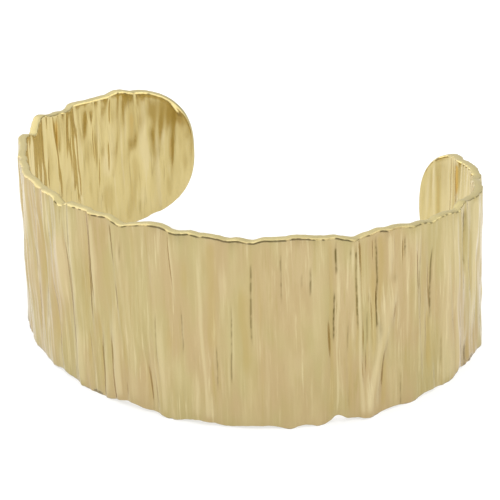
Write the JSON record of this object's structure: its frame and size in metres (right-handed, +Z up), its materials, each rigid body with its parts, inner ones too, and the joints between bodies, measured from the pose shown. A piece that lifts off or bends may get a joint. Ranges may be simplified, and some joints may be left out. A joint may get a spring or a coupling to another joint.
{
  "type": "cuff bracelet",
  "caption": "Open oval cuff bracelet: one wide band of thin pale gold metal, crumpled into soft folds from rim to rim, with rounded ends.",
  "frame": {"origin": "on the ground, under the middle of the band as it stands on its lower rim", "axes": "+X along the wide way of the oval, to the right seen from the front; -Y is the front and +Y the gap for the wrist; +Z up"},
  "size_m": [0.0648, 0.0489, 0.0261],
  "materials": {
    "gold": "softly polished pale gold, darker in the creases"
  },
  "bodies": {
    "root": {"cuff_band": "gold"}
  },
  "joints": []
}
